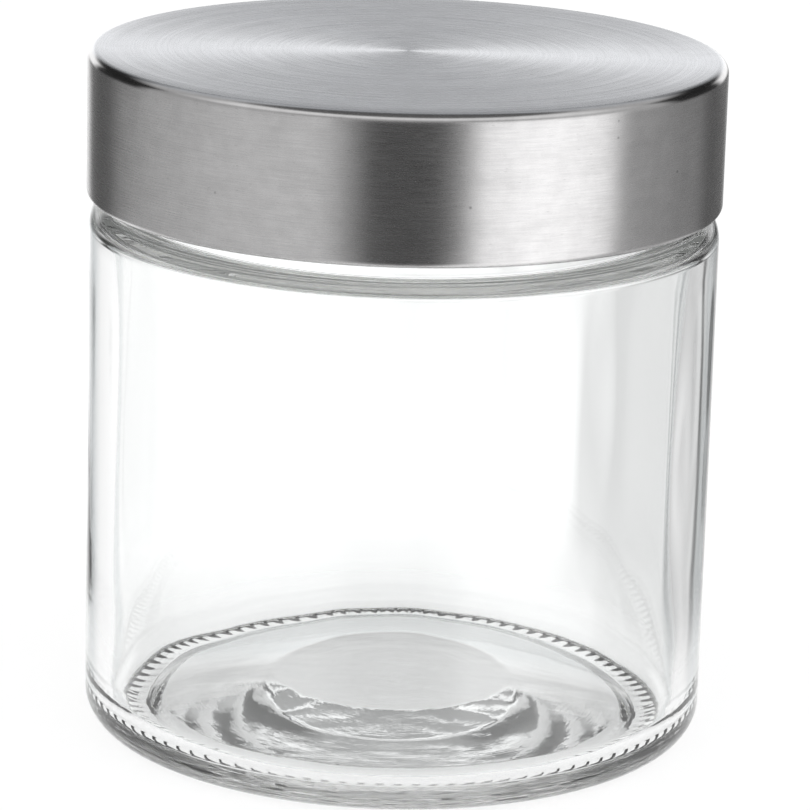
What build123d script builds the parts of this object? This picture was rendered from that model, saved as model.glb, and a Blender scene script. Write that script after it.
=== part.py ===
from build123d import *
import math
import os

# A clear glass spice jar that stands on its base, closed by a screw lid: a thin brushed steel cup
# over a moulded plastic insert that holds a soft seal against the glass rim.
# Millimetres, +Z up, origin at the middle of the ring that the jar stands on.

# Driving sizes of the closed jar
jar_diameter = 63.6
closed_height = 69.6
lid_height = 14.8
glass_wall = 2.7

# Base of the glass
heel_round = 3.0
bearing_ring_width = 3.4
bearing_edge_round = 0.4
punt_height = 1.0
punt_run = 1.9
punt_round = 1.5
inner_heel_round = 3.0
valley_height = 2.0
valley_width = 4.1
valley_round = 2.0
plateau_radius = 12.0
floor_height = 4.5
plateau_round = 6.0

# Shoulder, neck and rim of the glass
neck_wall = 2.6
neck_root_round = 0.8
rim_round = 0.75
shoulder_slope = 30.0
shoulder_round_share = 1.3
shoulder_lap = 0.9
inner_shoulder_drop = 2.35
inner_shoulder_slope = 10.0
inner_shoulder_round = 1.6
inner_neck_round = 1.2

# Steel shell of the lid
lid_overhang = 0.2
sheet = 0.45
shell_top_round = 1.0
shell_foot_round = 0.6
hem_width = 0.85

# Plastic insert of the lid
insert_fit = 0.1
insert_wall = 1.4
insert_panel = 1.25
insert_edge_chamfer = 0.6
insert_lip_chamfer = 0.3
plug_wall = 1.2
plug_depth = 1.0
plug_lead_in = 0.4
plug_clearance = 0.8
bead_depth = 0.6
bead_land = 0.3
bead_ramp = 0.7

# Seal ring, and the room that the screw thread takes between the neck and the insert
seal_thickness = 1.2
seal_side_clearance = 0.3
thread_room = 1.45

# Radii and heights that follow from the sizes above
jar_radius = jar_diameter / 2
lid_radius = jar_radius + lid_overhang
shell_inner_radius = lid_radius - sheet
insert_radius = shell_inner_radius - insert_fit
skirt_inner_radius = insert_radius - insert_wall
neck_radius = skirt_inner_radius - thread_room
mouth_radius = neck_radius - neck_wall
plug_radius = mouth_radius - plug_clearance

lid_foot = closed_height - lid_height
insert_foot = lid_foot + sheet
insert_top = closed_height - sheet
seal_top = insert_top - insert_panel
rim_height = seal_top - seal_thickness
neck_foot = lid_foot + shoulder_lap


def turned(corners):
    """Return the solid that a closed half outline, given as ((radius, height), rounding), sweeps about Z."""
    points = [point for point, rounding in corners]
    outline = FilletPolyline(*points, radius=[rounding for point, rounding in corners], close=True)
    return revolve(make_face(Plane.XZ * outline), Axis.Z, revolution_arc=360)


def glass_jar():
    """Return the moulded glass jar: base with its push-up, straight wall, thick shoulder, neck and rim."""
    rise = math.tan(math.radians(shoulder_slope))
    shoulder_step = jar_radius - neck_radius
    shoulder_edge = neck_foot - shoulder_step * rise
    shoulder_round = shoulder_round_share * shoulder_step

    inner_radius = jar_radius - glass_wall
    inner_edge = shoulder_edge - inner_shoulder_drop
    inner_rise = math.tan(math.radians(inner_shoulder_slope))
    inner_neck_foot = inner_edge + (inner_radius - mouth_radius) * inner_rise

    bearing_outer_radius = jar_radius - heel_round
    bearing_inner_radius = bearing_outer_radius - bearing_ring_width
    punt_radius = bearing_inner_radius - punt_run
    valley_radius = inner_radius - valley_width

    corners = [
        ((0, punt_height), 0),
        ((punt_radius, punt_height), punt_round),
        ((bearing_inner_radius, 0), bearing_edge_round),
        ((jar_radius, 0), heel_round),
        ((jar_radius, shoulder_edge), shoulder_round),
        ((neck_radius, neck_foot), neck_root_round),
        ((neck_radius, rim_height), rim_round),
        ((mouth_radius, rim_height), rim_round),
        ((mouth_radius, inner_neck_foot), inner_neck_round),
        ((inner_radius, inner_edge), inner_shoulder_round),
        ((inner_radius, valley_height), inner_heel_round),
        ((valley_radius, valley_height), valley_round),
        ((plateau_radius, floor_height), plateau_round),
        ((0, floor_height), 0),
    ]
    return turned(corners)


def lid_shell():
    """Return the drawn steel cup of the lid, its foot turned in under the insert."""
    hem_radius = shell_inner_radius - hem_width
    corners = [
        ((0, closed_height), 0),
        ((lid_radius, closed_height), shell_top_round),
        ((lid_radius, lid_foot), shell_foot_round),
        ((hem_radius, lid_foot), 0),
        ((hem_radius, insert_foot), 0),
        ((shell_inner_radius, insert_foot), shell_foot_round - sheet),
        ((shell_inner_radius, insert_top), shell_top_round - sheet),
        ((0, insert_top), 0),
    ]
    return turned(corners)


def lid_insert():
    """Return the moulded insert: panel, skirt, plug ring inside the mouth and bead under the seal."""
    bead_radius = skirt_inner_radius - bead_depth
    plug_foot = rim_height - plug_depth
    corners = [
        (0, insert_top),
        (insert_radius - insert_edge_chamfer, insert_top),
        (insert_radius, insert_top - insert_edge_chamfer),
        (insert_radius, insert_foot + insert_lip_chamfer),
        (insert_radius - insert_lip_chamfer, insert_foot),
        (skirt_inner_radius + insert_lip_chamfer, insert_foot),
        (skirt_inner_radius, insert_foot + insert_lip_chamfer),
        (skirt_inner_radius, rim_height - bead_land - bead_ramp),
        (bead_radius, rim_height - bead_land),
        (bead_radius, rim_height),
        (skirt_inner_radius, rim_height),
        (skirt_inner_radius, seal_top),
        (plug_radius, seal_top),
        (plug_radius, plug_foot + plug_lead_in),
        (plug_radius - plug_lead_in, plug_foot),
        (plug_radius - plug_wall, plug_foot),
        (plug_radius - plug_wall, seal_top),
        (0, seal_top),
    ]
    return turned([(point, 0) for point in corners])


def seal_ring():
    """Return the flat soft ring between the insert's ceiling and the glass rim."""
    outer = skirt_inner_radius - seal_side_clearance
    inner = plug_radius + seal_side_clearance
    corners = [(inner, rim_height), (outer, rim_height), (outer, seal_top), (inner, seal_top)]
    return turned([(point, 0) for point in corners])


nodes = {
    "glass_jar": glass_jar(),
    "lid_shell": lid_shell(),
    "lid_insert": lid_insert(),
    "seal_ring": seal_ring(),
}

os.makedirs("parts", exist_ok=True)
for name, solid in nodes.items():
    export_step(solid, f"parts/{name}.step")
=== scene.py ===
import logging
import math
from collections.abc import Callable, Sequence
from dataclasses import dataclass
from enum import Enum
from typing import NamedTuple

import bpy
from mathutils import Matrix, Vector, noise

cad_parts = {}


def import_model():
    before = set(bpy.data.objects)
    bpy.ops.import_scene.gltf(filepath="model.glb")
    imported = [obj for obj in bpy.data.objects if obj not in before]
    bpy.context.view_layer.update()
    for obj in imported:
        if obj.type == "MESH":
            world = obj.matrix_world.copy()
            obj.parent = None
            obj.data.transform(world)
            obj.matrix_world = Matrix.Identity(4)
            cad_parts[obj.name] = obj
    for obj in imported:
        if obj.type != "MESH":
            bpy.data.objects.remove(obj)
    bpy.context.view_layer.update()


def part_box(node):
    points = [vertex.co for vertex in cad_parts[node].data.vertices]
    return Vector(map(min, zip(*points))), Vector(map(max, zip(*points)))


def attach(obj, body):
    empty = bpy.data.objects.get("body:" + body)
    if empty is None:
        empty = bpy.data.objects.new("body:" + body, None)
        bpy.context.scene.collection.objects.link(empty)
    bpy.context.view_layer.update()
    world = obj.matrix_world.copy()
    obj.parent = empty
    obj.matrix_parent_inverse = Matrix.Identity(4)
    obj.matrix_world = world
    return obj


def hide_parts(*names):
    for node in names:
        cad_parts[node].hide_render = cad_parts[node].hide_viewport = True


MM = 0.001

# Longest steps along an outline: plain walls, knurls and the insert's thread, the glass thread
COARSE = 2.0 * MM
FINE = 0.3 * MM
FINEST = 0.1 * MM

# A length and a share too small to matter, and how near to a wall a point counts as on it
TINY = 1e-7
SLACK = 1e-6
NEAR = 0.01 * MM

# Edges sharper than this aren't shaded smooth
CREASE = math.radians(35)

# Where most values of a noise lie, and a narrower span that gives it more contrast
NOISE_SPAN = (0.3, 0.7)
SHARP_SPAN = (0.35, 0.65)

log = logging.getLogger("spice_jar")

Point = tuple[float, float]
Span = tuple[float, float]
Triple = tuple[float, float, float]
Shape = Callable[[float, float, float], Point]
Socket = bpy.types.NodeSocket
Node = bpy.types.Node
Tree = bpy.types.NodeTree
Material = bpy.types.Material


class Corner(NamedTuple):
    """One corner of a half outline: its place, its rounding, and the longest step of the run up to it."""

    radius: float
    height: float
    bend: float = 0.0
    stride: float = COARSE


class Finish(Enum):
    """The names of the finishes, which the materials built below bear."""

    GLASS = "clear_glass"
    STEEL = "brushed_steel"
    PLASTIC = "insert_plastic"
    SILICONE = "seal_silicone"


def smooth_step(low: float, high: float, value: float) -> float:
    """Return 0 below low, 1 above high and a smooth rise between them."""
    share = min(1.0, max(0.0, (value - low) / (high - low)))
    return share * share * (3 - 2 * share)


def rounded(corners: list[Corner], arc_pieces: int) -> list[Point]:
    """Round an outline's corners with tangent arcs and divide its straight runs.

    Args:
        corners: The corners in order, in metres; a rounded one has a neighbour on both sides.
        arc_pieces: How many straight pieces make up each arc.

    Returns:
        The points of the rounded outline as (radius, height).
    """
    points: list[tuple[Vector, float]] = []
    for i, corner in enumerate(corners):
        here = Vector(corner[:2])
        if not corner.bend:
            points.append((here, corner.stride))
            continue
        before = (Vector(corners[i - 1][:2]) - here).normalized()
        after = (Vector(corners[(i + 1) % len(corners)][:2]) - here).normalized()
        half = before.angle(after) / 2
        centre = here + (before + after).normalized() * (corner.bend / math.sin(half))
        reach = corner.bend / math.tan(half)
        first = here + before * reach - centre
        last = here + after * reach - centre
        start = math.atan2(first.y, first.x)
        turn = (math.atan2(last.y, last.x) - start + math.pi) % math.tau - math.pi
        for k in range(arc_pieces + 1):
            angle = start + turn * k / arc_pieces
            arm = Vector((math.cos(angle), math.sin(angle))) * corner.bend
            points.append((centre + arm, corner.stride))
    divided = [points[0][0]]
    for point, stride in points[1:]:
        previous = divided[-1]
        gap = (point - previous).length
        if gap > TINY:
            pieces = math.ceil(gap / stride - SLACK)
            divided += [previous.lerp(point, k / pieces) for k in range(1, pieces + 1)]
    return [(point.x, point.y) for point in divided]


def add_object(name: str, data: bpy.types.ID) -> bpy.types.Object:
    """Put a mesh, a lamp or a camera into the scene.

    Args:
        name: The object's name.
        data: The mesh, lamp or camera.

    Returns:
        The new object.
    """
    made = bpy.data.objects.new(name, data)
    bpy.context.scene.collection.objects.link(made)
    return made


def turned(name: str, outline: list[Point], around: int, shape: Shape | None = None,
           closed: bool = False) -> bpy.types.Object:
    """Turn a half outline about the jar's axis into a mesh object.

    Args:
        name: The piece's name.
        outline: Points as (radius, height), the solid on the left of their direction.
        around: Steps in a full turn.
        shape: Moves a point, given its radius, height and angle, to a new radius and height.
        closed: Whether the last point joins the first.

    Returns:
        The new object, smooth shaded.
    """
    verts: list[Triple] = []
    rings: list[list[int]] = []
    angles = [math.tau * k / around for k in range(around)]
    for radius, height in outline:
        first = len(verts)
        if radius < TINY:
            verts.append((0.0, 0.0, height))
            rings.append([first] * around)
            continue
        for angle in angles:
            r, z = shape(radius, height, angle) if shape else (radius, height)
            verts.append((r * math.cos(angle), r * math.sin(angle), z))
        rings.append(list(range(first, first + around)))
    pairs = list(zip(rings, rings[1:]))
    if closed:
        pairs.append((rings[-1], rings[0]))
    faces = []
    for low, high in pairs:
        for k in range(around):
            ahead = (k + 1) % around
            faces.append(list(dict.fromkeys((low[k], low[ahead], high[ahead], high[k]))))
    mesh = bpy.data.meshes.new(name)
    mesh.from_pydata(verts, [], faces)
    mesh.validate()
    mesh.shade_smooth()
    mesh.set_sharp_from_angle(angle=CREASE)
    log.info("%s: %d points, %d faces", name, len(verts), len(faces))
    return add_object(name, mesh)


def dress(piece: bpy.types.Object, material: Material, body: str, node: str) -> None:
    """Give a piece its finish and tell the frame what carries it.

    Args:
        piece: The piece's object.
        material: Its material.
        body: The body that the piece rides on.
        node: The solid that it stands for.
    """
    piece.data.materials.append(material)
    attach(piece, body)
    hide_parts(node)
    log.info("%s rides on %s for %s", piece.name, body, node)


@dataclass(frozen=True)
class ScrewThread:
    """A thread of several equal ridges, each a stretch of a helix with run-outs at its ends."""

    starts: int
    lead: float
    foot: float
    span: float
    root_width: float
    crest_width: float
    first_angle: float = 0.0
    run_out: float = math.radians(14)

    def rise(self, height: float, angle: float) -> float:
        """Tell how far up its flank a ridge is at a place on the wall.

        Args:
            height: Height on the wall, in metres.
            angle: Angle about the axis, in radians.

        Returns:
            0 on the plain wall, 1 on a ridge's crest.
        """
        best = 0.0
        for start in range(self.starts):
            begin = self.first_angle + math.tau * start / self.starts
            along = (angle - begin) % math.tau
            for lap in (along, along - math.tau):
                if not -self.run_out < lap < self.span + self.run_out:
                    continue
                off = abs(height - self.foot - self.lead * lap / math.tau)
                flank = (self.root_width / 2 - off) / ((self.root_width - self.crest_width) / 2)
                ends = smooth_step(-self.run_out, 0, lap) * smooth_step(-self.run_out, 0, self.span - lap)
                best = max(best, smooth_step(0, 1, flank) * ends)
        return best


def grey(level: float) -> tuple[float, float, float, float]:
    """Return an opaque grey."""
    return (level, level, level, 1.0)


@dataclass(frozen=True)
class NodeChain:
    """Makes and links the nodes of one node tree with few words."""

    tree: Tree

    def feed(self, node: Node, **inputs: object) -> None:
        """Fill a node's inputs.

        Args:
            node: The node.
            inputs: Its inputs by name, underscores for spaces, or _0, _1 by place; a socket is
                linked and anything else is set.
        """
        for key, value in inputs.items():
            place = int(key[1:]) if key[1:].isdigit() else key.replace("_", " ")
            socket = node.inputs[place]
            if isinstance(value, Socket):
                self.tree.links.new(value, socket)
            else:
                socket.default_value = value

    def add(self, kind: str, settings: dict[str, object] | None = None, **inputs: object) -> Node:
        """Add a node.

        Args:
            kind: The node's type name, without its first word ShaderNode.
            settings: Properties of the node.
            inputs: Its inputs, as feed takes them.

        Returns:
            The new node.
        """
        node = self.tree.nodes.new("ShaderNode" + kind)
        for key, value in (settings or {}).items():
            setattr(node, key, value)
        self.feed(node, **inputs)
        return node

    def place(self, kind: str = "Object") -> Socket:
        """Return the place on the surface, or another of its coordinates."""
        return self.add("TexCoord").outputs[kind]

    def split(self, vector: Socket) -> bpy.types.bpy_prop_collection:
        """Return the X, Y and Z of a vector."""
        return self.add("SeparateXYZ", Vector=vector).outputs

    def calc(self, operation: str, *terms: object) -> Socket:
        """Return the result of a Math node with the given terms."""
        numbered = {f"_{i}": term for i, term in enumerate(terms)}
        return self.add("Math", {"operation": operation}, **numbered).outputs[0]

    def vector(self, operation: str, *terms: object) -> Node:
        """Return a Vector Math node with the given terms."""
        numbered = {f"_{i}": term for i, term in enumerate(terms)}
        return self.add("VectorMath", {"operation": operation}, **numbered)

    def ramp(self, value: Socket, stops: Sequence[Point]) -> Socket:
        """Turn a value into a grey by a ramp.

        Args:
            value: The value, from 0 to 1.
            stops: The ramp's stops as (place, grey).

        Returns:
            The grey.
        """
        node = self.add("ValToRGB", Fac=value)
        elements = node.color_ramp.elements
        while len(elements) < len(stops):
            elements.new(0.5)
        for element, (place, level) in zip(elements, stops):
            element.position = place
            element.color = grey(level)
        return node.outputs["Color"]

    def map_range(self, value: Socket, span: Span, to: Span = (0.0, 1.0)) -> Socket:
        """Return a value mapped from one range to another, held at the ends."""
        ends = {"From_Min": span[0], "From_Max": span[1], "To_Min": to[0], "To_Max": to[1]}
        return self.add("MapRange", Value=value, **ends).outputs[0]

    def blend(self, share: object, first: object, second: object) -> Socket:
        """Return two numbers mixed by a share."""
        return self.add("Mix", {"data_type": "FLOAT"}, _0=share, _2=first, _3=second).outputs[0]

    def mix(self, share: object, first: object, second: object) -> Socket:
        """Return two colours mixed by a share."""
        return self.add("Mix", {"data_type": "RGBA"}, _0=share, _6=first, _7=second).outputs[2]

    def shades(self, value: Socket, span: Span, levels: Span) -> Socket:
        """Return a grey that goes from one level to another while a value crosses a span."""
        return self.mix(self.map_range(value, span), grey(levels[0]), grey(levels[1]))

    def times(self, first: Socket, second: Socket) -> Socket:
        """Return two colours multiplied."""
        settings = {"data_type": "RGBA", "blend_type": "MULTIPLY"}
        return self.add("Mix", settings, _0=1.0, _6=first, _7=second).outputs[2]

    def cloud(self, vector: Socket, per_mm: float, **inputs: float) -> Socket:
        """Return a noise of a given fineness, from 0 to 1."""
        return self.add("TexNoise", Vector=vector, Scale=per_mm / MM, **inputs).outputs[0]

    def relief(self, height: Socket, depth: float, strength: float, under: Socket | None = None) -> Socket:
        """Raise the surface in its shading.

        Args:
            height: The height, from 0 to 1.
            depth: What a height of 1 is, in metres.
            strength: How much of the relief shows.
            under: A relief that this one lies on.

        Returns:
            The normal.
        """
        node = self.add("Bump", Strength=strength, Distance=depth, Height=height)
        if under is not None:
            self.feed(node, Normal=under)
        return node.outputs[0]


def new_group(name: str, inputs: list[str], outputs: list[str]) -> Tree:
    """Start a shader node group with named number sockets.

    Args:
        name: The group's name.
        inputs: Input names.
        outputs: Output names.

    Returns:
        The group, with only its interface.
    """
    group = bpy.data.node_groups.new(name, "ShaderNodeTree")
    for side, titles in (("INPUT", inputs), ("OUTPUT", outputs)):
        for title in titles:
            group.interface.new_socket(title, in_out=side, socket_type="NodeSocketFloat")
    return group


def brush_lines_group() -> Tree:
    """Build the group for marks that run round the axis: brushing on steel, tool marks in plastic.

    Returns:
        A group with Lines, fine and close, and Streaks, broad and faint, both from 0 to 1.
    """
    group = new_group("brush_lines", ["Lines per mm", "Breaks"], ["Lines", "Streaks"])
    chain = NodeChain(group)
    entry = chain.tree.nodes.new("NodeGroupInput").outputs
    parts = chain.split(chain.place())
    flat = chain.add("CombineXYZ", X=parts["X"], Y=parts["Y"]).outputs[0]
    radius = chain.vector("LENGTH", flat).outputs["Value"]
    unit = chain.vector("NORMALIZE", flat).outputs[0]
    across = chain.calc("ADD", radius, parts["Z"])
    count = chain.calc("MULTIPLY", across, chain.calc("MULTIPLY", entry["Lines per mm"], 1 / MM))
    around = chain.vector("SCALE", unit)
    chain.feed(around, Scale=entry["Breaks"])
    turn = chain.split(around.outputs[0])
    spot = chain.add("CombineXYZ", X=count, Y=turn["X"], Z=turn["Y"]).outputs[0]
    lines = chain.add("TexNoise", Vector=spot, Scale=1.0, Detail=3.0, Roughness=0.7)
    broad = chain.vector("MULTIPLY", spot, (0.12, 0.5, 0.5)).outputs[0]
    streaks = chain.add("TexNoise", Vector=broad, Scale=1.0, Detail=4.0, Roughness=0.65)
    out = chain.tree.nodes.new("NodeGroupOutput")
    chain.feed(out, Lines=lines.outputs[0], Streaks=streaks.outputs[0])
    return group


def specks_group() -> Tree:
    """Build the group for tiny scattered marks: pits in steel, dust on plastic, seeds in glass.

    Returns:
        A group with Specks, 1 in the middle of a mark and 0 off it.
    """
    group = new_group("specks", ["Per mm", "Size", "Share", "Flatness"], ["Specks"])
    chain = NodeChain(group)
    entry = chain.tree.nodes.new("NodeGroupInput").outputs
    place = chain.split(chain.place())
    height = chain.calc("MULTIPLY", place["Z"], entry["Flatness"])
    spot = chain.add("CombineXYZ", X=place["X"], Y=place["Y"], Z=height).outputs[0]
    scale = chain.calc("MULTIPLY", entry["Per mm"], 1 / MM)
    cells = chain.add("TexVoronoi", Vector=spot, Scale=scale).outputs
    near = chain.calc("SUBTRACT", entry["Size"], cells["Distance"])
    dot = chain.calc("DIVIDE", near, entry["Size"])
    pick = chain.add("SeparateColor", Color=cells["Color"]).outputs[0]
    chosen = chain.calc("LESS_THAN", pick, entry["Share"])
    held = chain.add("Clamp", Value=chain.calc("MULTIPLY", dot, chosen)).outputs[0]
    chain.feed(chain.tree.nodes.new("NodeGroupOutput"), Specks=held)
    return group


class BrushMarks(NamedTuple):
    """Turned lines in a finish: lines per mm, and how often they break off round the axis."""

    per_mm: float
    breaks: float


class SpeckMarks(NamedTuple):
    """Specks in a finish: cells per mm, size, share of cells with one, flatness, grey, and cover."""

    per_mm: float
    size: float
    share: float
    flatness: float = 1.0
    tone: float = 1.0
    cover: float = 1.0


@dataclass(frozen=True)
class SharedEffects:
    """The node groups that more than one finish places."""

    brush_lines: Tree
    specks: Tree

    def lines(self, chain: NodeChain, marks: BrushMarks) -> bpy.types.bpy_prop_collection:
        """Place the turned lines in a material and return their outputs."""
        node = chain.add("Group", {"node_tree": self.brush_lines}, Lines_per_mm=marks.per_mm,
                         Breaks=marks.breaks)
        return node.outputs

    def dots(self, chain: NodeChain, marks: SpeckMarks) -> Socket:
        """Place the specks in a material and return their mask."""
        node = chain.add("Group", {"node_tree": self.specks}, Per_mm=marks.per_mm, Size=marks.size,
                         Share=marks.share, Flatness=marks.flatness)
        return node.outputs["Specks"]

    def spotted(self, chain: NodeChain, base: object, marks: SpeckMarks, cover: object) -> Socket:
        """Return a colour with specks on it that cover it by a share."""
        mask = chain.calc("MULTIPLY", self.dots(chain, marks), cover)
        return chain.mix(mask, base, grey(marks.tone))


def new_material(name: str) -> tuple[Material, NodeChain, Node, Node]:
    """Start a material with one Principled shader on its output.

    Args:
        name: The material's name.

    Returns:
        The material, its node chain, the Principled node and the output node.
    """
    material = bpy.data.materials.new(name)
    material.use_nodes = True
    tree = material.node_tree
    return material, NodeChain(tree), tree.nodes["Principled BSDF"], tree.nodes["Material Output"]


@dataclass(frozen=True)
class BrushedSteel:
    """Stainless sheet, turned in fine rings on top and brushed level round the side."""

    # Painted shade: the top takes a darker, cooler tone than the side of the same sheet
    painted_shade_top_tone: Triple = (0.64, 0.655, 0.69)
    side_tone: Triple = (0.668, 0.66, 0.662)
    top_slope: Span = (0.75, 0.95)
    side_lines: BrushMarks = BrushMarks(per_mm=7.0, breaks=9.0)
    top_lines: BrushMarks = BrushMarks(per_mm=3.4, breaks=1.0)
    streak_shades: Span = (0.965, 1.03)
    line_shades: Span = (1.02, 0.965)
    cloud_shades: Span = (0.95, 1.035)
    clouds_per_mm: float = 0.45
    dashes: SpeckMarks = SpeckMarks(per_mm=0.75, size=0.17, share=0.2, flatness=4.5, tone=0.3, cover=0.55)
    pits: SpeckMarks = SpeckMarks(per_mm=0.5, size=0.1, share=0.12, tone=0.12, cover=0.8)
    rough_span: Span = (0.24, 0.3)
    edge_roughness: float = 0.17
    edge_slopes: tuple[Point, ...] = ((0.0, 0.0), (0.12, 0.0), (0.3, 1.0), (0.88, 1.0), (0.97, 0.0))
    anisotropy: float = 0.82
    quarter_turn: float = 0.25
    grains_per_mm: float = 3.5
    line_depth: float = 0.0015 * MM
    top_relief: float = 0.15

    def colour(self, chain: NodeChain, effects: SharedEffects, on_top: Socket, lines: Socket,
               streaks: Socket) -> Socket:
        """Colour the steel, with its brushing, clouds, worn dashes and pits, and a painted darker, cooler
        shade on its top.

        Args:
            chain: The material's node chain.
            effects: The shared node groups.
            on_top: 1 on the lid's top and 0 on its side.
            lines: The fine brushing.
            streaks: The broad brushing.

        Returns:
            The colour.
        """
        # Painted shade: the top's tone is darker and cooler than the side's
        body = chain.mix(on_top, (*self.side_tone, 1), (*self.painted_shade_top_tone, 1))
        shade = chain.shades(streaks, NOISE_SPAN, self.streak_shades)
        lined = chain.shades(lines, SHARP_SPAN, self.line_shades)
        cloud = chain.cloud(chain.place(), self.clouds_per_mm, Detail=4.0, Roughness=0.65)
        clouded = chain.shades(cloud, SHARP_SPAN, self.cloud_shades)
        marked = chain.times(chain.times(chain.times(body, shade), lined), clouded)
        worn = effects.spotted(chain, marked, self.dashes, chain.blend(on_top, self.dashes.cover, 0.0))
        return effects.spotted(chain, worn, self.pits, self.pits.cover)

    def material(self, effects: SharedEffects) -> Material:
        """Build the steel's material.

        Args:
            effects: The shared node groups.

        Returns:
            The material.
        """
        material, chain, shader, _ = new_material("brushed_steel")
        slope = chain.split(chain.place("Normal"))["Z"]
        on_top = chain.map_range(slope, self.top_slope)
        side = effects.lines(chain, self.side_lines)
        rings = effects.lines(chain, self.top_lines)
        lines = chain.blend(on_top, side["Lines"], rings["Lines"])
        streaks = chain.blend(on_top, side["Streaks"], rings["Streaks"])
        rough = chain.map_range(lines, NOISE_SPAN, self.rough_span)
        at_edge = chain.ramp(slope, self.edge_slopes)
        grain = chain.cloud(chain.place(), self.grains_per_mm, Detail=1.0)
        relief_share = chain.blend(on_top, 1.0, self.top_relief)
        height = chain.calc("MULTIPLY", chain.calc("ADD", lines, grain), relief_share)
        tangent = chain.add("Tangent", {"direction_type": "RADIAL", "axis": "Z"}).outputs[0]
        chain.feed(shader, Base_Color=self.colour(chain, effects, on_top, lines, streaks),
                   Roughness=chain.blend(at_edge, rough, self.edge_roughness), Metallic=1.0,
                   Anisotropic=self.anisotropy, Anisotropic_Rotation=self.quarter_turn, Tangent=tangent,
                   Normal=chain.relief(height, self.line_depth, strength=0.35))
        return material


@dataclass(frozen=True)
class ClearGlass:
    """Clear pressed glass with a faint cool cast, a painted shade that greys it where it turns from view, and
    a slightly uneven skin.
    """

    tint: Triple = (0.99, 0.996, 0.995)
    # Painted shade: the glass is greyed where it faces away from view, standing in for dark reflections at
    # its edges
    painted_rim_shade: Triple = (0.62, 0.66, 0.67)
    painted_rim_shade_stops: tuple[Point, ...] = (
        (0.0, 0.0), (0.72, 0.0), (0.79, 1.0), (0.87, 1.0), (0.94, 0.2), (1.0, 0.0))
    shadow_tint: Triple = (0.93, 0.95, 0.95)
    index: float = 1.52
    ripples_per_mm: float = 0.09
    ripple_depth: float = 0.01 * MM
    seeds: SpeckMarks = SpeckMarks(per_mm=0.12, size=0.03, share=0.12)
    mould_marks: BrushMarks = BrushMarks(per_mm=0.9, breaks=1.3)
    mark_top: float = 7.0 * MM
    mark_fade: float = 0.7
    mark_depth: float = 0.02 * MM
    waves_per_mm: Triple = (0.12, 0.34, 0.3)
    wave_depth: float = 0.05 * MM

    def skin(self, chain: NodeChain, effects: SharedEffects) -> Socket:
        """Make the skin uneven: ripples and seeds all over, mould marks and waves in the foot.

        Args:
            chain: The material's node chain.
            effects: The shared node groups.

        Returns:
            The normal.
        """
        place = chain.place()
        ripples = chain.cloud(place, self.ripples_per_mm, Detail=2.0, Roughness=0.5)
        height = chain.calc("ADD", ripples, effects.dots(chain, self.seeds))
        relief = chain.relief(height, self.ripple_depth, strength=0.5)
        in_foot = chain.map_range(chain.split(place)["Z"], (self.mark_top, self.mark_top * self.mark_fade))
        marks = effects.lines(chain, self.mould_marks)
        marked = chain.calc("MULTIPLY", chain.calc("ADD", marks["Lines"], marks["Streaks"]), in_foot)
        relief = chain.relief(marked, self.mark_depth, strength=0.6, under=relief)
        drawn = chain.add("Mapping", Vector=place, Scale=tuple(count / MM for count in self.waves_per_mm))
        waves = chain.add("TexNoise", Vector=drawn.outputs[0], Scale=1.0, Detail=1.0, Roughness=0.4)
        waved = chain.calc("MULTIPLY", waves.outputs[0], in_foot)
        return chain.relief(waved, self.wave_depth, strength=0.8, under=relief)

    def material(self, effects: SharedEffects) -> Material:
        """Build the glass's material; lamps reach through it, as they do through real glass.

        Args:
            effects: The shared node groups.

        Returns:
            The material.
        """
        material, chain, shader, output = new_material("clear_glass")
        facing = chain.add("LayerWeight", Blend=0.5).outputs["Facing"]
        # Painted shade: the base colour greys towards the edges by the Layer Weight facing
        tint = chain.mix(chain.ramp(facing, self.painted_rim_shade_stops), (*self.tint, 1), (*self.painted_rim_shade, 1))
        chain.feed(shader, Base_Color=tint, Roughness=0.0, IOR=self.index, Transmission_Weight=1.0,
                   Normal=self.skin(chain, effects))
        ray = chain.add("LightPath").outputs
        clear = chain.add("BsdfTransparent", Color=(*self.shadow_tint, 1)).outputs[0]
        both = chain.add("MixShader", Fac=ray["Is Shadow Ray"], _1=shader.outputs[0], _2=clear).outputs[0]
        chain.feed(output, Surface=both)
        return material


@dataclass(frozen=True)
class MouldedPlastic:
    """Off-white polypropylene with faint turned tool marks; its glow is painted light."""

    tone: Triple = (0.9, 0.9, 0.885)
    streak_share: float = 0.95
    dust: SpeckMarks = SpeckMarks(per_mm=0.2, size=0.05, share=0.1, tone=0.45, cover=0.4)
    tool_marks: BrushMarks = BrushMarks(per_mm=3.0, breaks=2.0)
    rough_span: Span = (0.38, 0.48)
    # Painted light: a faint glow that brightens the plastic though it is no lamp
    painted_glow: float = 0.13
    scatter: float = 0.08
    scatter_reach: Triple = (1.2 * MM, 1.2 * MM, 1.0 * MM)
    mark_depth: float = 0.01 * MM

    def material(self, effects: SharedEffects) -> Material:
        """Build the plastic's material.

        Args:
            effects: The shared node groups.

        Returns:
            The material.
        """
        material, chain, shader, _ = new_material("insert_plastic")
        marks = effects.lines(chain, self.tool_marks)
        deep = tuple(level * self.streak_share for level in self.tone)
        cloud = chain.mix(chain.map_range(marks["Streaks"], NOISE_SPAN), (*deep, 1), (*self.tone, 1))
        chain.feed(shader, Base_Color=effects.spotted(chain, cloud, self.dust, self.dust.cover),
                   Roughness=chain.map_range(marks["Lines"], NOISE_SPAN, self.rough_span),
                   Subsurface_Weight=self.scatter, Subsurface_Radius=self.scatter_reach,
                   # Painted light: the emission brightens the insert inside the closed lid
                   Emission_Color=(*self.tone, 1), Emission_Strength=self.painted_glow,
                   Normal=chain.relief(marks["Lines"], self.mark_depth, strength=0.2))
        return material


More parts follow.
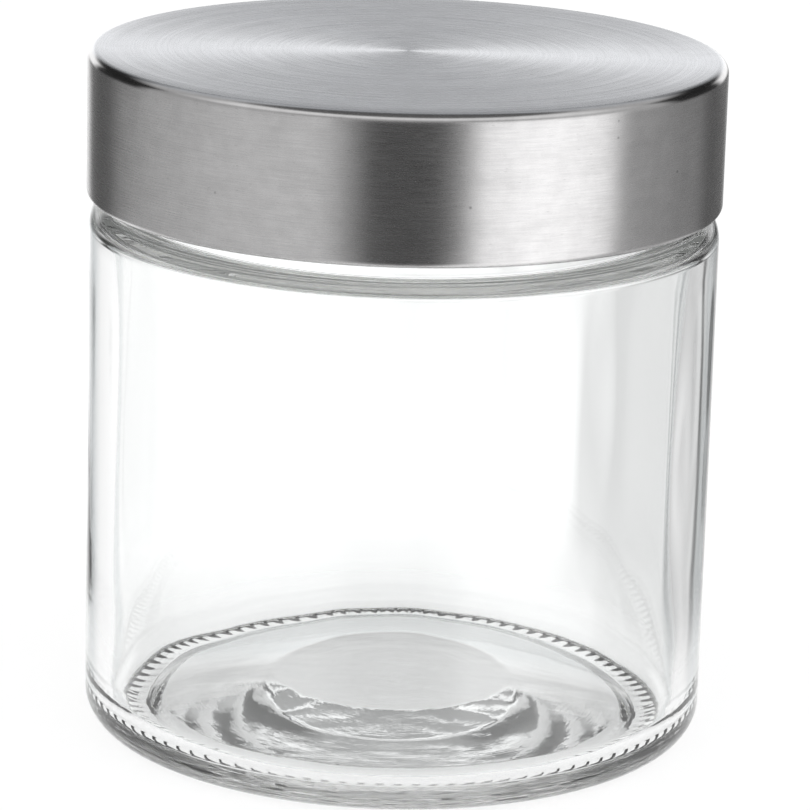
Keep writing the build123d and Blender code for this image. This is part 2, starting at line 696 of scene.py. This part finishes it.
@dataclass(frozen=True)
class SoftSilicone:
    """Milky soft silicone, matte with a fine grain; its glow is painted light."""

    tone: Triple = (0.7, 0.71, 0.7)
    dust: SpeckMarks = SpeckMarks(per_mm=0.5, size=0.08, share=0.1, tone=0.5, cover=0.3)
    grains_per_mm: float = 3.0
    rough_span: Span = (0.5, 0.62)
    # Painted light: a faint glow that brightens the seal though it is no lamp
    painted_glow: float = 0.13
    grain_depth: float = 0.02 * MM

    def material(self, effects: SharedEffects) -> Material:
        """Build the seal's material.

        Args:
            effects: The shared node groups.

        Returns:
            The material.
        """
        material, chain, shader, _ = new_material("seal_silicone")
        grain = chain.cloud(chain.place(), self.grains_per_mm, Detail=3.0)
        chain.feed(shader, Base_Color=effects.spotted(chain, (*self.tone, 1), self.dust, self.dust.cover),
                   Roughness=chain.map_range(grain, NOISE_SPAN, self.rough_span),
                   # Painted light: the emission brightens the seal inside the closed lid
                   Emission_Color=(*self.tone, 1), Emission_Strength=self.painted_glow,
                   Normal=chain.relief(grain, self.grain_depth, strength=0.2))
        return material


@dataclass
class GlassJar:
    """The pressed glass: foot with knurled bearing ring, wall, shoulder, threaded neck and rim."""

    radius: float
    rim_height: float
    lid_foot: float
    wall: float = 2.7 * MM
    heel_round: float = 3.0 * MM
    ring_width: float = 3.4 * MM
    ring_edge_round: float = 0.4 * MM
    punt_run: float = 1.9 * MM
    punt_height: float = 1.0 * MM
    punt_round: float = 1.5 * MM
    floor_radius: float = 12.0 * MM
    floor_height: float = 4.5 * MM
    floor_round: float = 6.0 * MM
    valley_width: float = 4.1 * MM
    valley_height: float = 2.0 * MM
    valley_round: float = 2.0 * MM
    inner_heel_round: float = 3.0 * MM
    shoulder_step: float = 3.2 * MM
    shoulder_lap: float = 0.9 * MM
    shoulder_slope: float = math.radians(30)
    shoulder_round: float = 4.16 * MM
    inner_shoulder_height: float = 51.5 * MM
    inner_shoulder_slope: float = math.radians(15)
    inner_shoulder_round: float = 0.8 * MM
    inner_neck_round: float = 3.0 * MM
    neck_wall: float = 2.6 * MM
    neck_root_round: float = 0.8 * MM
    rim_round: float = 0.75 * MM
    knurl_count: int = 96
    knurl_length: float = 2.2 * MM
    knurl_depth: float = 0.22 * MM
    knurl_flank: Span = (0.12, 0.38)
    knurl_end: float = 0.16
    steps_per_knurl: int = 6
    wander_foot: float = 9.0 * MM
    wander_margin: float = 3.0 * MM
    wander_reach: float = 8.0 * MM
    wander_depth: float = 0.16 * MM
    wander_across: float = 1.3
    wander_length: float = 22 * MM
    line_reach: float = 26.0 * MM
    line_depth: float = 0.13 * MM
    line_across: float = 6.0
    line_length: float = 40 * MM
    thread_height: float = 1.15 * MM
    thread: ScrewThread = ScrewThread(starts=3, lead=12 * MM, foot=58.0 * MM, span=math.radians(175),
                                      root_width=2.4 * MM, crest_width=1.0 * MM)

    @property
    def inner(self) -> float:
        """Radius of the inside wall."""
        return self.radius - self.wall

    @property
    def neck_radius(self) -> float:
        """Radius of the neck's plain outside wall."""
        return self.radius - self.shoulder_step

    @property
    def neck_foot(self) -> float:
        """Height where the shoulder meets the neck."""
        return self.lid_foot + self.shoulder_lap

    @property
    def knurl_outer(self) -> float:
        """Radius where the knurls end and the heel begins."""
        return self.radius - self.heel_round

    @property
    def knurl_inner(self) -> float:
        """Radius where the knurls begin."""
        return self.knurl_outer - self.knurl_length

    def outline(self) -> list[Point]:
        """Draw the glass's half outline, from under the base round to the floor inside.

        Returns:
            Its points as (radius, height).
        """
        mouth = self.neck_radius - self.neck_wall
        shoulder_edge = self.neck_foot - self.shoulder_step * math.tan(self.shoulder_slope)
        inner_edge = self.inner_shoulder_height
        inner_neck_foot = inner_edge + (self.inner - mouth) * math.tan(self.inner_shoulder_slope)
        ring_inner = self.knurl_outer - self.ring_width
        return rounded([
            Corner(0, self.punt_height),
            Corner(ring_inner - self.punt_run, self.punt_height, self.punt_round),
            Corner(ring_inner, 0, self.ring_edge_round),
            Corner(self.knurl_inner, 0),
            Corner(self.knurl_outer, 0, 0, FINE),
            Corner(self.radius, 0, self.heel_round),
            Corner(self.radius, shoulder_edge, self.shoulder_round),
            Corner(self.neck_radius, self.neck_foot, self.neck_root_round),
            Corner(self.neck_radius, self.rim_height, self.rim_round, FINEST),
            Corner(mouth, self.rim_height, self.rim_round),
            Corner(mouth, inner_neck_foot, self.inner_neck_round),
            Corner(self.inner, inner_edge, self.inner_shoulder_round),
            Corner(self.inner, self.valley_height, self.inner_heel_round),
            Corner(self.inner - self.valley_width, self.valley_height, self.valley_round),
            Corner(self.floor_radius, self.floor_height, self.floor_round),
            Corner(0, self.floor_height),
        ], arc_pieces=10)

    def knurl(self, radius: float, angle: float) -> float:
        """Tell how high the bearing ring is pressed up at a place on it.

        Args:
            radius: Radius on the ring, in metres.
            angle: Angle about the axis, in radians.

        Returns:
            The height, in metres.
        """
        phase = angle * self.knurl_count / math.tau % 1
        notch = smooth_step(*self.knurl_flank, phase) * smooth_step(*self.knurl_flank, 1 - phase)
        across = (radius - self.knurl_inner) / self.knurl_length
        ends = smooth_step(0, self.knurl_end, across) * smooth_step(0, self.knurl_end, 1 - across)
        return self.knurl_depth * notch * ends

    def wander(self, height: float, angle: float) -> float:
        """Tell how far the inside wall leaves a true cylinder, as it does in pressed glass.

        Args:
            height: Height on the wall, in metres.
            angle: Angle about the axis, in radians.

        Returns:
            The distance outwards, in metres.
        """
        x, y = math.cos(angle), math.sin(angle)
        above = height - self.wander_foot
        below = self.neck_foot - self.wander_margin - height
        reach = smooth_step(0, self.wander_reach, above) * smooth_step(0, self.wander_reach, below)
        spot = Vector((x * self.wander_across, y * self.wander_across, height / self.wander_length))
        streak = Vector((x * self.line_across, y * self.line_across, height / self.line_length))
        drawn = self.line_depth * smooth_step(0, self.line_reach, above)
        return reach * (self.wander_depth * noise.noise(spot) + drawn * noise.noise(streak))

    def shape(self, radius: float, height: float, angle: float) -> Point:
        """Press the knurls and the thread into the plain turned form and let the inside wall wander.

        Args:
            radius: Radius on the plain form.
            height: Its height there.
            angle: Its angle about the axis.

        Returns:
            The new radius and height.
        """
        if height < NEAR and self.knurl_inner < radius < self.knurl_outer:
            return radius, height + self.knurl(radius, angle)
        if abs(radius - self.neck_radius) < NEAR and height > self.neck_foot:
            return radius + self.thread_height * self.thread.rise(height, angle), height
        if radius < self.inner + NEAR and self.wander_foot < height < self.neck_foot - self.wander_margin:
            return radius + self.wander(height, angle), height
        return radius, height

    def build(self, material: Material) -> None:
        """Build the glass and set it on the jar body.

        Args:
            material: The glass's material.
        """
        around = self.knurl_count * self.steps_per_knurl
        piece = turned("jar_glass", self.outline(), around, self.shape)
        dress(piece, material, "jar", "glass_jar")


@dataclass
class ScrewLid:
    """The lid: brushed steel cup, threaded plastic insert and soft seal."""

    radius: float
    foot: float
    top: float
    rim_height: float
    around: int = 384
    sheet: float = 0.45 * MM
    top_round: float = 1.0 * MM
    foot_round: float = 0.6 * MM
    hem_width: float = 0.85 * MM
    hem_edge_round: float = 0.18 * MM
    insert_fit: float = 0.1 * MM
    insert_wall: float = 1.4 * MM
    insert_edge_round: float = 0.9 * MM
    insert_lip_round: float = 0.4 * MM
    plug_radius: float = 25.2 * MM
    plug_wall: float = 1.2 * MM
    plug_depth: float = 1.0 * MM
    plug_edge_round: float = 0.4 * MM
    bead_depth: float = 0.6 * MM
    bead_land: float = 0.3 * MM
    bead_ramp: float = 0.7 * MM
    seal_thickness: float = 1.2 * MM
    seal_side_clearance: float = 0.3 * MM
    seal_edge_round: float = 0.25 * MM
    thread_height: float = 0.95 * MM
    thread: ScrewThread = ScrewThread(starts=3, lead=12 * MM, foot=56.9 * MM, span=math.radians(140),
                                      root_width=1.8 * MM, crest_width=0.8 * MM,
                                      first_angle=math.radians(27))

    @property
    def skirt_inner(self) -> float:
        """Radius of the insert's plain inside wall."""
        return self.radius - self.sheet - self.insert_fit - self.insert_wall

    @property
    def seal_top(self) -> float:
        """Height of the ceiling that the seal lies against."""
        return self.rim_height + self.seal_thickness

    def build_shell(self, material: Material) -> None:
        """Build the drawn steel cup with its foot turned in.

        Args:
            material: The steel.
        """
        inner = self.radius - self.sheet
        hem_inner = inner - self.hem_width
        inner_foot = self.foot + self.sheet
        outline = rounded([
            Corner(0, self.top - self.sheet),
            Corner(inner, self.top - self.sheet, self.top_round - self.sheet),
            Corner(inner, inner_foot, self.foot_round - self.sheet),
            Corner(hem_inner, inner_foot, self.hem_edge_round),
            Corner(hem_inner, self.foot, self.hem_edge_round),
            Corner(self.radius, self.foot, self.foot_round),
            Corner(self.radius, self.top, self.top_round),
            Corner(0, self.top),
        ], arc_pieces=8)
        piece = turned("lid_steel", outline, self.around)
        dress(piece, material, "lid", "lid_shell")

    def insert_shape(self, radius: float, height: float, angle: float) -> Point:
        """Raise the thread's ridges on the inside of the skirt.

        Args:
            radius: Radius on the plain form.
            height: Its height there.
            angle: Its angle about the axis.

        Returns:
            The new radius and height.
        """
        if abs(radius - self.skirt_inner) < NEAR and height < self.rim_height - self.bead_land:
            return radius - self.thread_height * self.thread.rise(height, angle), height
        return radius, height

    def build_insert(self, material: Material) -> None:
        """Build the plastic insert with its thread, bead and plug ring.

        Args:
            material: The plastic.
        """
        outer = self.radius - self.sheet - self.insert_fit
        foot = self.foot + self.sheet
        top = self.top - self.sheet
        skirt = self.skirt_inner
        bead = skirt - self.bead_depth
        bead_foot = self.rim_height - self.bead_land
        plug_inner = self.plug_radius - self.plug_wall
        plug_foot = self.rim_height - self.plug_depth
        outline = rounded([
            Corner(0, self.seal_top),
            Corner(plug_inner, self.seal_top, self.plug_edge_round),
            Corner(plug_inner, plug_foot, self.plug_edge_round),
            Corner(self.plug_radius, plug_foot, self.plug_edge_round),
            Corner(self.plug_radius, self.seal_top),
            Corner(skirt, self.seal_top),
            Corner(skirt, self.rim_height),
            Corner(bead, self.rim_height),
            Corner(bead, bead_foot),
            Corner(skirt, bead_foot - self.bead_ramp),
            Corner(skirt, foot, self.insert_lip_round, FINE),
            Corner(outer, foot, self.insert_lip_round),
            Corner(outer, top, self.insert_edge_round),
            Corner(0, top),
        ], arc_pieces=6)
        piece = turned("lid_plastic", outline, self.around, self.insert_shape)
        dress(piece, material, "lid", "lid_insert")

    def build_seal(self, material: Material) -> None:
        """Build the flat soft ring on the seal body.

        Args:
            material: The silicone.
        """
        inner = self.plug_radius + self.seal_side_clearance
        outer = self.skirt_inner - self.seal_side_clearance
        bend = self.seal_edge_round
        outline = rounded([
            Corner(inner, self.rim_height, bend),
            Corner(outer, self.rim_height, bend),
            Corner(outer, self.seal_top, bend),
            Corner(inner, self.seal_top, bend),
        ], arc_pieces=5)
        piece = turned("seal", outline, self.around, closed=True)
        dress(piece, material, "seal", "seal_ring")


class Panel(NamedTuple):
    """One panel round the jar: its edges, in degrees from the camera's side, and its brightness at each."""

    first: float
    last: float
    level: float
    far_level: float


@dataclass(frozen=True)
class PanelRow:
    """A row of panels that takes over between two elevations, in degrees; light fades from panel to panel."""

    low: float
    high: float
    panels: tuple[Panel, ...]


class Lamp(NamedTuple):
    """A soft square lamp: its name, place and size in metres, and power in watts."""

    name: str
    place: Triple
    size: float
    power: float


@dataclass
class Studio:
    """White floor, soft lamps, and rows of pale and dark panels that show in metal and glass."""

    floor_half: float = 3.0
    floor_drop: float = 0.02 * MM
    floor_tone: float = 0.9
    floor_roughness: float = 0.8
    floor_gloss: float = 0.1
    shade_inner: float = 36 * MM
    shade_outer: float = 70 * MM
    camera_glow: float = 0.85
    bent_glow: float = 0.8
    # Painted shadow: a ring of darker glow under the base, seen through the glass
    painted_base_shadow: tuple[Point, ...] = ((0.0, 1.0), (0.38, 1.0), (0.5, 0.8), (0.64, 0.8), (0.76, 1.0))
    brightest: float = 1.6
    scattered_gain: float = 2.8
    glass_dip: float = 16.0
    aim: Triple = (0.0, 0.0, 0.03)
    lamps: tuple[Lamp, ...] = (Lamp("lamp_above", (0.1, -0.1, 0.9), 0.8, 1.4),
                               Lamp("lamp_left", (-0.8, -0.5, 0.5), 0.6, 1.0))
    table_row: PanelRow = PanelRow(-90, -90, (
        Panel(-180, -122, 1.2, 1.1), Panel(-112, -28, 0.5, 0.7), Panel(-11, 12, 0.15, 0.15),
        Panel(29, 52, 1.25, 1.45), Panel(52, 74, 1.45, 1.2), Panel(84, 136, 0.5, 0.6),
        Panel(142, 148, 0.85, 0.85), Panel(151, 154, 0.2, 0.2), Panel(157, 173, 0.85, 0.78),
        Panel(177, 180, 1.15, 1.2)))
    side_row: PanelRow = PanelRow(-26, -22, (
        Panel(-180, -164, 1.2, 1.15), Panel(-155, -133, 0.12, 0.12), Panel(-122, -70, 0.34, 0.66),
        Panel(-70, -30, 0.66, 0.72), Panel(-13, 12, 0.03, 0.03), Panel(20, 29, 0.12, 1.25),
        Panel(29, 52, 1.25, 1.55), Panel(52, 76, 1.55, 1.3), Panel(84, 128, 0.34, 0.28),
        Panel(138, 162, 0.12, 0.12), Panel(175, 180, 0.9, 1.1)))
    back_row: PanelRow = PanelRow(-6, 0, (
        Panel(-180, -150, 1.3, 1.2), Panel(-143, -112, 0.03, 0.03), Panel(-104, -28, 0.45, 0.7),
        Panel(-12, 14, 0.06, 0.06), Panel(28, 52, 1.25, 1.4), Panel(52, 75, 1.4, 1.2),
        Panel(84, 104, 0.5, 0.4), Panel(112, 143, 0.03, 0.03), Panel(150, 180, 1.2, 1.3)))
    roof_row: PanelRow = PanelRow(10, 16, (
        Panel(-180, -165, 0.34, 0.3), Panel(-158, -112, 0.02, 0.02), Panel(-104, -60, 0.4, 0.5),
        Panel(-30, 30, 0.4, 0.4), Panel(60, 104, 0.6, 0.5), Panel(112, 158, 0.02, 0.02),
        Panel(165, 180, 0.3, 0.34)))
    high_row: PanelRow = PanelRow(30, 38, (
        Panel(-180, -110, 0.55, 0.5), Panel(-80, 80, 0.9, 0.9), Panel(110, 180, 0.5, 0.55)))
    zenith_row: PanelRow = PanelRow(56, 64, (Panel(-180, 180, 0.12, 0.12),))

    def row_level(self, chain: NodeChain, turn: Socket, row: PanelRow) -> Socket:
        """Work out the brightness of one row of panels.

        Args:
            chain: The world's node chain.
            turn: The direction round the jar, from 0 to 1, with the camera's side at 0.5.
            row: The row.

        Returns:
            The brightness in each direction.
        """
        stops = []
        for panel in row.panels:
            stops.append(((panel.first + 180) / 360, panel.level / self.brightest))
            stops.append(((panel.last + 180) / 360, panel.far_level / self.brightest))
        return chain.calc("MULTIPLY", chain.ramp(turn, stops), self.brightest)

    def build_world(self) -> None:
        """Hang the panels all round for light, metal and glass, and show plain white to the camera."""
        world = bpy.data.worlds.new("studio")
        bpy.context.scene.world = world
        world.use_nodes = True
        world.cycles.sampling_method = "NONE"
        chain = NodeChain(world.node_tree)
        parts = chain.split(chain.place("Generated"))
        angle = chain.calc("ARCTAN2", parts["X"], chain.calc("MULTIPLY", parts["Y"], -1.0))
        turn = chain.map_range(angle, (-math.pi, math.pi))
        up = chain.calc("DEGREES", chain.calc("ARCSINE", parts["Z"]))
        ray = chain.add("LightPath").outputs
        through = chain.calc("MULTIPLY", ray["Is Transmission Ray"], self.glass_dip)
        level = self.row_level(chain, turn, self.table_row)
        for row in (self.side_row, self.back_row, self.roof_row, self.high_row, self.zenith_row):
            seen = chain.calc("SUBTRACT", up, through) if row is self.side_row else up
            share = chain.map_range(seen, (row.low, row.high))
            level = chain.blend(share, level, self.row_level(chain, turn, row))
        scattered = chain.calc("GREATER_THAN", ray["Diffuse Depth"], 0.5)
        gain = chain.map_range(scattered, (0.0, 1.0), (1.0, self.scattered_gain))
        strength = chain.blend(ray["Is Camera Ray"], chain.calc("MULTIPLY", level, gain), 1.0)
        chain.feed(world.node_tree.nodes["Background"], Color=grey(1.0), Strength=strength)

    def floor_material(self) -> Material:
        """Build the floor's material: metal and glass see it only near the jar, with a painted ring of shadow
        under the base.

        Returns:
            The material.
        """
        material, chain, shader, output = new_material("pale_floor")
        chain.feed(shader, Base_Color=grey(self.floor_tone), Roughness=self.floor_roughness,
                   Specular_IOR_Level=self.floor_gloss)
        ray = chain.add("LightPath").outputs
        bent = chain.calc("MAXIMUM", ray["Is Glossy Ray"], ray["Is Transmission Ray"])
        away = chain.vector("LENGTH", chain.place()).outputs["Value"]
        # Painted shadow: the glow's strength dips in a ring under the base
        under = chain.ramp(chain.map_range(away, (0.0, self.shade_inner)), self.painted_base_shadow)
        # Painted glow: the floor's emission, which carries the painted shadow ring in its strength
        painted_glow = chain.add("Emission", Color=grey(1.0), Strength=chain.blend(bent, 1.0, under)).outputs[0]
        share = chain.calc("MAXIMUM", chain.calc("MULTIPLY", ray["Is Camera Ray"], self.camera_glow),
                           chain.calc("MULTIPLY", bent, self.bent_glow))
        lit = chain.add("MixShader", Fac=share, _1=shader.outputs[0], _2=painted_glow).outputs[0]
        gone = chain.calc("MULTIPLY", bent, chain.map_range(away, (self.shade_inner, self.shade_outer)))
        clear = chain.add("BsdfTransparent", Color=grey(1.0)).outputs[0]
        chain.feed(output, Surface=chain.add("MixShader", Fac=gone, _1=lit, _2=clear).outputs[0])
        return material

    def build_floor(self) -> None:
        """Lay the pale floor, which keeps a faint shadow."""
        half = self.floor_half
        sides = ((-half, -half), (half, -half), (half, half), (-half, half))
        mesh = bpy.data.meshes.new("floor")
        mesh.from_pydata([(x, y, -self.floor_drop) for x, y in sides], [], [(0, 1, 2, 3)])
        mesh.materials.append(self.floor_material())
        add_object("floor", mesh)

    def add_lamp(self, lamp: Lamp) -> None:
        """Hang a lamp that faces the jar and lights only what scatters light.

        Args:
            lamp: The lamp.
        """
        data = bpy.data.lights.new(lamp.name, "AREA")
        data.size = lamp.size
        data.energy = lamp.power
        hung = add_object(lamp.name, data)
        hung.location = lamp.place
        hung.rotation_euler = (Vector(self.aim) - Vector(lamp.place)).to_track_quat("-Z", "Y").to_euler()
        hung.visible_glossy = False
        hung.visible_transmission = False

    def build(self) -> None:
        """Build the whole studio."""
        self.build_world()
        self.build_floor()
        for lamp in self.lamps:
            self.add_lamp(lamp)


@dataclass
class PhotoCamera:
    """The camera that took the photograph, seen from the jar."""

    distance: float = 414.6 * MM
    height: float = 146.4 * MM
    pitch: float = math.radians(15.31)
    roll: float = math.radians(1.58)
    yaw: float = math.radians(0.084)
    lens: float = 186.9
    sensor: float = 36.0

    def build(self) -> None:
        """Place the camera and make it the scene's own."""
        forward = Vector((math.sin(self.yaw) * math.cos(self.pitch),
                          math.cos(self.yaw) * math.cos(self.pitch), -math.sin(self.pitch)))
        right = forward.cross(Vector((0, 0, 1))).normalized()
        up = right.cross(forward)
        tilted_right = right * math.cos(self.roll) + up * math.sin(self.roll)
        tilted_up = up * math.cos(self.roll) - right * math.sin(self.roll)
        turn = Matrix((tilted_right, tilted_up, -forward)).transposed().to_4x4()
        data = bpy.data.cameras.new("camera")
        data.lens = self.lens
        data.sensor_width = self.sensor
        camera = add_object("camera", data)
        camera.matrix_world = Matrix.Translation((0, -self.distance, self.height)) @ turn
        bpy.context.scene.camera = camera


def set_view(bounces: int = 32, glossy_bounces: int = 16) -> None:
    """Let light pass often enough through the glass, and show plain colours.

    Args:
        bounces: How often a ray may bend or bounce.
        glossy_bounces: How often it may bounce off metal and glass.
    """
    scene = bpy.context.scene
    scene.cycles.max_bounces = bounces
    scene.cycles.transmission_bounces = bounces
    scene.cycles.glossy_bounces = glossy_bounces
    scene.view_settings.view_transform = "Standard"


def main() -> None:
    """Load the frame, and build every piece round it."""
    logging.basicConfig(level=logging.INFO, format="%(message)s")
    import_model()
    _, glass_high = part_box("glass_jar")
    shell_low, shell_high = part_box("lid_shell")
    effects = SharedEffects(brush_lines_group(), specks_group())
    jar = GlassJar(radius=glass_high[0], rim_height=glass_high[2], lid_foot=shell_low[2])
    jar.build(ClearGlass().material(effects))
    lid = ScrewLid(radius=shell_high[0], foot=shell_low[2], top=shell_high[2], rim_height=glass_high[2])
    lid.build_shell(BrushedSteel().material(effects))
    lid.build_insert(MouldedPlastic().material(effects))
    lid.build_seal(SoftSilicone().material(effects))
    Studio().build()
    PhotoCamera().build()
    set_view()


if __name__ == "__main__":
    main()
